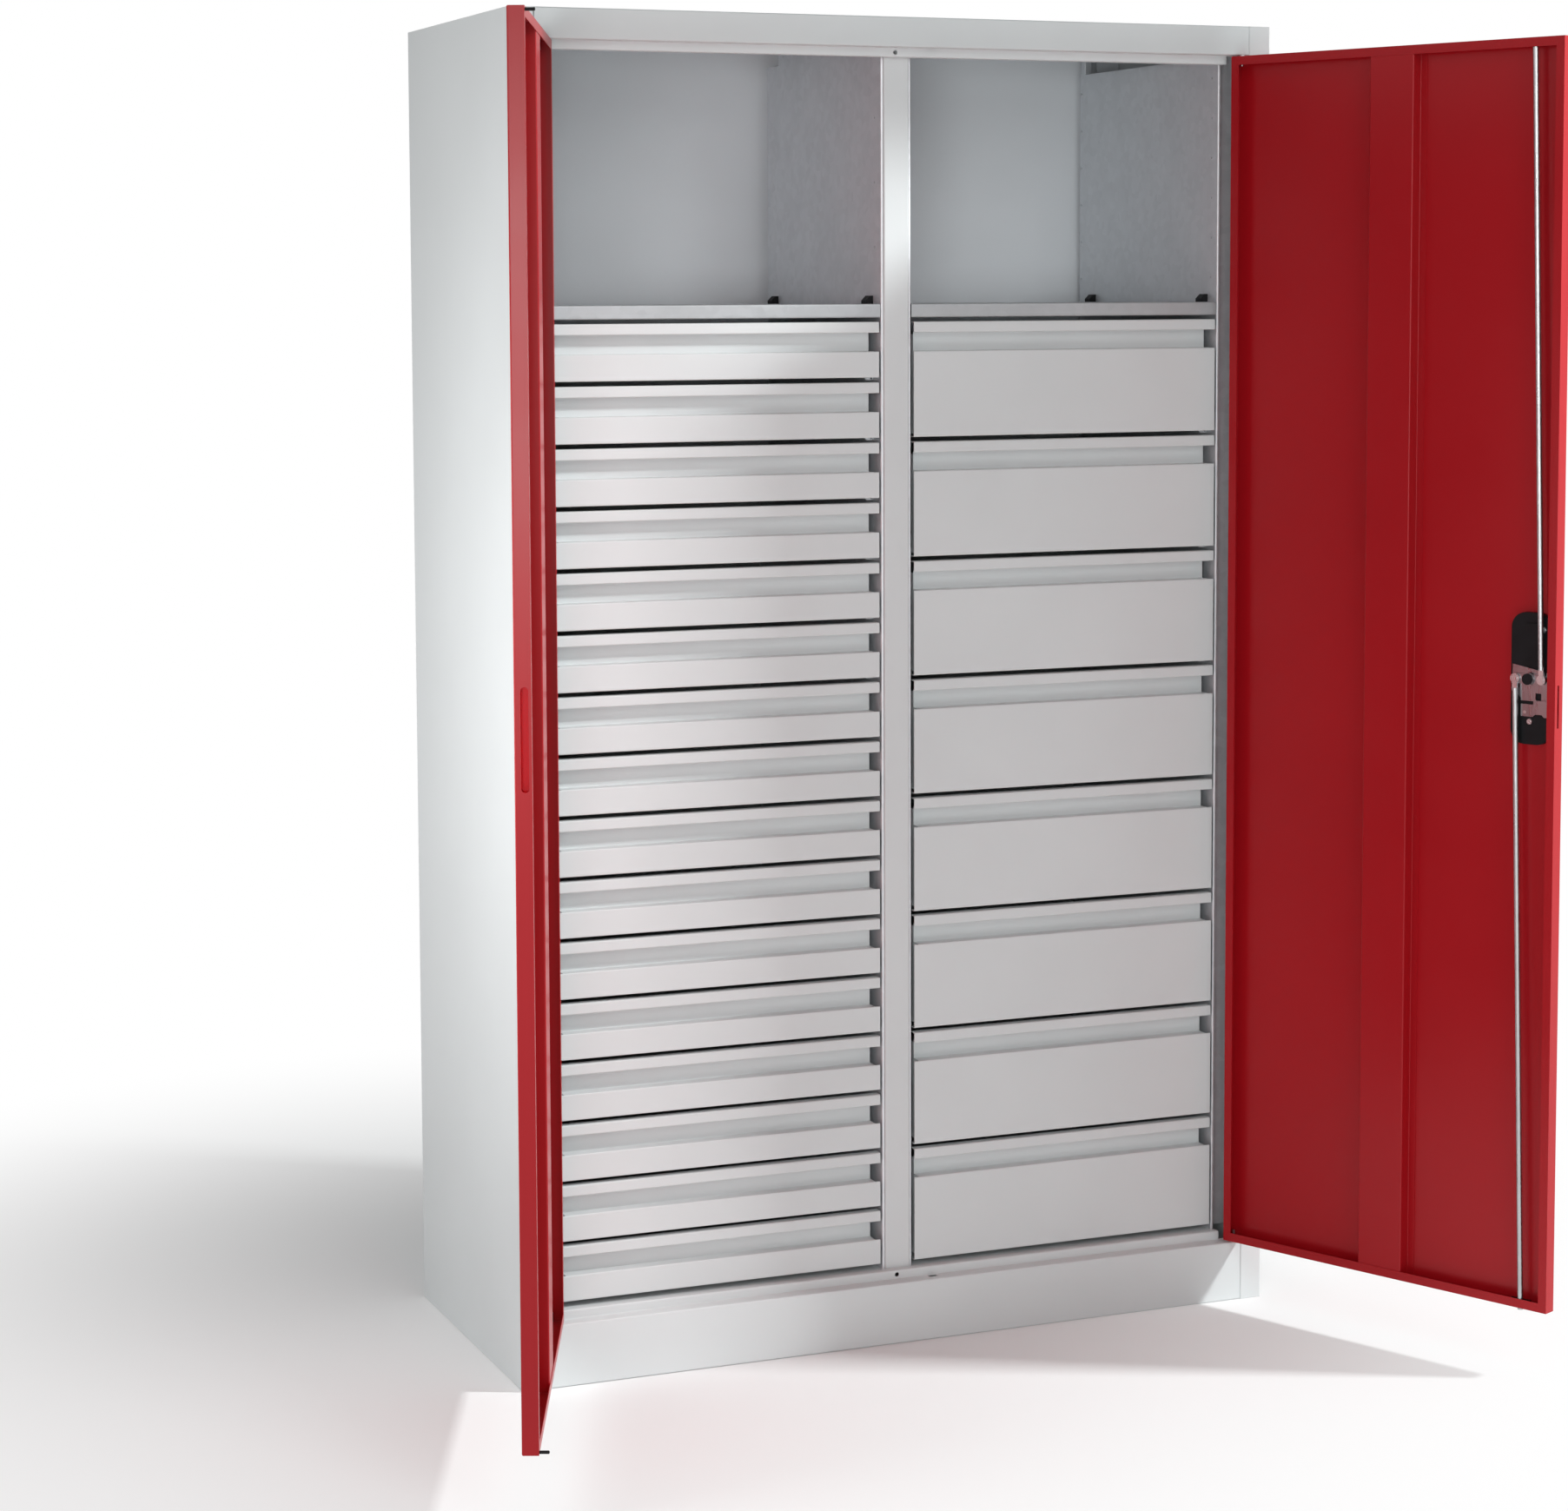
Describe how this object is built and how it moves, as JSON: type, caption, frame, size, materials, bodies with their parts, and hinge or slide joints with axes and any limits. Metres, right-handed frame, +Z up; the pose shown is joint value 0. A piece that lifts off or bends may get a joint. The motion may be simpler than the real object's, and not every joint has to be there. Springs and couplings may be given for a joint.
{
  "type": "tool cabinet",
  "caption": "Tall two-door steel workshop cabinet with shallow drawers on the left, deep drawers on the right and open compartments above them.",
  "frame": {"origin": "centre of the cabinet's footprint on the floor", "axes": "+X to the cabinet's right-hand side as seen from its front, +Y to its back, +Z up"},
  "size_m": [1.5556, 1.0153, 1.95],
  "materials": {
    "grey_paint": "satin powder coat, light grey",
    "red_paint": "satin powder coat, deep red",
    "galvanised": "galvanised sheet",
    "zinc": "bright zinc plating",
    "black_plastic": "moulded, black"
  },
  "bodies": {
    "cabinet": {"left_side": "grey_paint", "right_side": "grey_paint", "roof_panel": "grey_paint", "plinth_panel": "grey_paint", "floor_panel": "grey_paint", "centre_foot": "grey_paint", "back_panel": "grey_paint", "centre_post": "grey_paint", "partition_sheets": "galvanised", "side_liners": "galvanised", "liner_rails": "galvanised", "shelves": "galvanised", "shelf_clips": "black_plastic", "drawer_runners": "galvanised", "hinge_bushes": "zinc"},
    "left_door": {"left_door": "red_paint", "left_stiffener": "red_paint", "left_hinge_pins": "zinc", "latch_keeper": "red_paint", "door_catches": "black_plastic"},
    "right_door": {"right_door": "red_paint", "right_stiffener": "red_paint", "right_hinge_pins": "zinc", "handle_dish": "black_plastic", "lock_cylinder": "black_plastic", "lock_plate": "zinc", "rod_guides": "black_plastic", "lock_screws": "zinc"},
    "handle": {"handle_lever": "black_plastic", "lock_spindle": "black_plastic", "lock_cam": "zinc"},
    "upper_rod": {"upper_rod": "zinc"},
    "lower_rod": {"lower_rod": "zinc"},
    "side_latch": {"side_latch": "zinc"},
    "lock_plug": {"lock_plug": "zinc"},
    "left_drawer_01": {"left_drawer_01": "grey_paint"},
    "left_drawer_02": {"left_drawer_02": "grey_paint"},
    "left_drawer_03": {"left_drawer_03": "grey_paint"},
    "left_drawer_04": {"left_drawer_04": "grey_paint"},
    "left_drawer_05": {"left_drawer_05": "grey_paint"},
    "left_drawer_06": {"left_drawer_06": "grey_paint"},
    "left_drawer_07": {"left_drawer_07": "grey_paint"},
    "left_drawer_08": {"left_drawer_08": "grey_paint"},
    "left_drawer_09": {"left_drawer_09": "grey_paint"},
    "left_drawer_10": {"left_drawer_10": "grey_paint"},
    "left_drawer_11": {"left_drawer_11": "grey_paint"},
    "left_drawer_12": {"left_drawer_12": "grey_paint"},
    "left_drawer_13": {"left_drawer_13": "grey_paint"},
    "left_drawer_14": {"left_drawer_14": "grey_paint"},
    "left_drawer_15": {"left_drawer_15": "grey_paint"},
    "left_drawer_16": {"left_drawer_16": "grey_paint"},
    "right_drawer_01": {"right_drawer_01": "grey_paint"},
    "right_drawer_02": {"right_drawer_02": "grey_paint"},
    "right_drawer_03": {"right_drawer_03": "grey_paint"},
    "right_drawer_04": {"right_drawer_04": "grey_paint"},
    "right_drawer_05": {"right_drawer_05": "grey_paint"},
    "right_drawer_06": {"right_drawer_06": "grey_paint"},
    "right_drawer_07": {"right_drawer_07": "grey_paint"},
    "right_drawer_08": {"right_drawer_08": "grey_paint"}
  },
  "joints": [
    {"name": "left_door_hinge", "type": "hinge", "parent": "cabinet", "child": "left_door", "pos_m": [-0.555, -0.245, 0], "axis": [0, 0, -1], "range_deg": [-111.9, 6.1]},
    {"name": "right_door_hinge", "type": "hinge", "parent": "cabinet", "child": "right_door", "pos_m": [0.555, -0.245, 0], "axis": [0, 0, 1], "range_deg": [-114.6, 3.4]},
    {"name": "handle_turn", "type": "hinge", "parent": "right_door", "child": "handle", "pos_m": [0.76605, -0.70598, 1.004], "axis": [-0.9092, -0.4163, 0], "range_deg": [0, 90]},
    {"name": "upper_rod_pivot", "type": "hinge", "parent": "handle", "child": "upper_rod", "pos_m": [0.7748, -0.72508, 1.004], "axis": [-0.9092, -0.4163, 0], "range_deg": [-92.5, 1]},
    {"name": "lower_rod_pivot", "type": "hinge", "parent": "handle", "child": "lower_rod", "pos_m": [0.75731, -0.68689, 1.004], "axis": [-0.9092, -0.4163, 0], "range_deg": [-92.5, 1]},
    {"name": "side_latch_slide", "type": "slide", "parent": "right_door", "child": "side_latch", "axis": [0.4163, -0.9092, 0], "range_m": [0, 0.0141]},
    {"name": "lock_plug_turn", "type": "hinge", "parent": "right_door", "child": "lock_plug", "pos_m": [0.76605, -0.70598, 1.058], "axis": [-0.9092, -0.4163, 0], "range_deg": [0, 90]},
    {"name": "left_drawer_01_slide", "type": "slide", "parent": "cabinet", "child": "left_drawer_01", "axis": [0, -1, 0], "range_m": [0, 0.33]},
    {"name": "left_drawer_02_slide", "type": "slide", "parent": "cabinet", "child": "left_drawer_02", "axis": [0, -1, 0], "range_m": [0, 0.33]},
    {"name": "left_drawer_03_slide", "type": "slide", "parent": "cabinet", "child": "left_drawer_03", "axis": [0, -1, 0], "range_m": [0, 0.33]},
    {"name": "left_drawer_04_slide", "type": "slide", "parent": "cabinet", "child": "left_drawer_04", "axis": [0, -1, 0], "range_m": [0, 0.33]},
    {"name": "left_drawer_05_slide", "type": "slide", "parent": "cabinet", "child": "left_drawer_05", "axis": [0, -1, 0], "range_m": [0, 0.33]},
    {"name": "left_drawer_06_slide", "type": "slide", "parent": "cabinet", "child": "left_drawer_06", "axis": [0, -1, 0], "range_m": [0, 0.33]},
    {"name": "left_drawer_07_slide", "type": "slide", "parent": "cabinet", "child": "left_drawer_07", "axis": [0, -1, 0], "range_m": [0, 0.33]},
    {"name": "left_drawer_08_slide", "type": "slide", "parent": "cabinet", "child": "left_drawer_08", "axis": [0, -1, 0], "range_m": [0, 0.33]},
    {"name": "left_drawer_09_slide", "type": "slide", "parent": "cabinet", "child": "left_drawer_09", "axis": [0, -1, 0], "range_m": [0, 0.33]},
    {"name": "left_drawer_10_slide", "type": "slide", "parent": "cabinet", "child": "left_drawer_10", "axis": [0, -1, 0], "range_m": [0, 0.33]},
    {"name": "left_drawer_11_slide", "type": "slide", "parent": "cabinet", "child": "left_drawer_11", "axis": [0, -1, 0], "range_m": [0, 0.33]},
    {"name": "left_drawer_12_slide", "type": "slide", "parent": "cabinet", "child": "left_drawer_12", "axis": [0, -1, 0], "range_m": [0, 0.33]},
    {"name": "left_drawer_13_slide", "type": "slide", "parent": "cabinet", "child": "left_drawer_13", "axis": [0, -1, 0], "range_m": [0, 0.33]},
    {"name": "left_drawer_14_slide", "type": "slide", "parent": "cabinet", "child": "left_drawer_14", "axis": [0, -1, 0], "range_m": [0, 0.33]},
    {"name": "left_drawer_15_slide", "type": "slide", "parent": "cabinet", "child": "left_drawer_15", "axis": [0, -1, 0], "range_m": [0, 0.33]},
    {"name": "left_drawer_16_slide", "type": "slide", "parent": "cabinet", "child": "left_drawer_16", "axis": [0, -1, 0], "range_m": [0, 0.33]},
    {"name": "right_drawer_01_slide", "type": "slide", "parent": "cabinet", "child": "right_drawer_01", "axis": [0, -1, 0], "range_m": [0, 0.33]},
    {"name": "right_drawer_02_slide", "type": "slide", "parent": "cabinet", "child": "right_drawer_02", "axis": [0, -1, 0], "range_m": [0, 0.33]},
    {"name": "right_drawer_03_slide", "type": "slide", "parent": "cabinet", "child": "right_drawer_03", "axis": [0, -1, 0], "range_m": [0, 0.33]},
    {"name": "right_drawer_04_slide", "type": "slide", "parent": "cabinet", "child": "right_drawer_04", "axis": [0, -1, 0], "range_m": [0, 0.33]},
    {"name": "right_drawer_05_slide", "type": "slide", "parent": "cabinet", "child": "right_drawer_05", "axis": [0, -1, 0], "range_m": [0, 0.33]},
    {"name": "right_drawer_06_slide", "type": "slide", "parent": "cabinet", "child": "right_drawer_06", "axis": [0, -1, 0], "range_m": [0, 0.33]},
    {"name": "right_drawer_07_slide", "type": "slide", "parent": "cabinet", "child": "right_drawer_07", "axis": [0, -1, 0], "range_m": [0, 0.33]},
    {"name": "right_drawer_08_slide", "type": "slide", "parent": "cabinet", "child": "right_drawer_08", "axis": [0, -1, 0], "range_m": [0, 0.33]}
  ],
  "couplings": [
    {"joint": "upper_rod_pivot", "follows": "handle_turn", "ratio": -1.0148},
    {"joint": "lower_rod_pivot", "follows": "handle_turn", "ratio": -1.0147},
    {"joint": "side_latch_slide", "follows": "handle_turn", "m_per_rad": 0.008913}
  ]
}
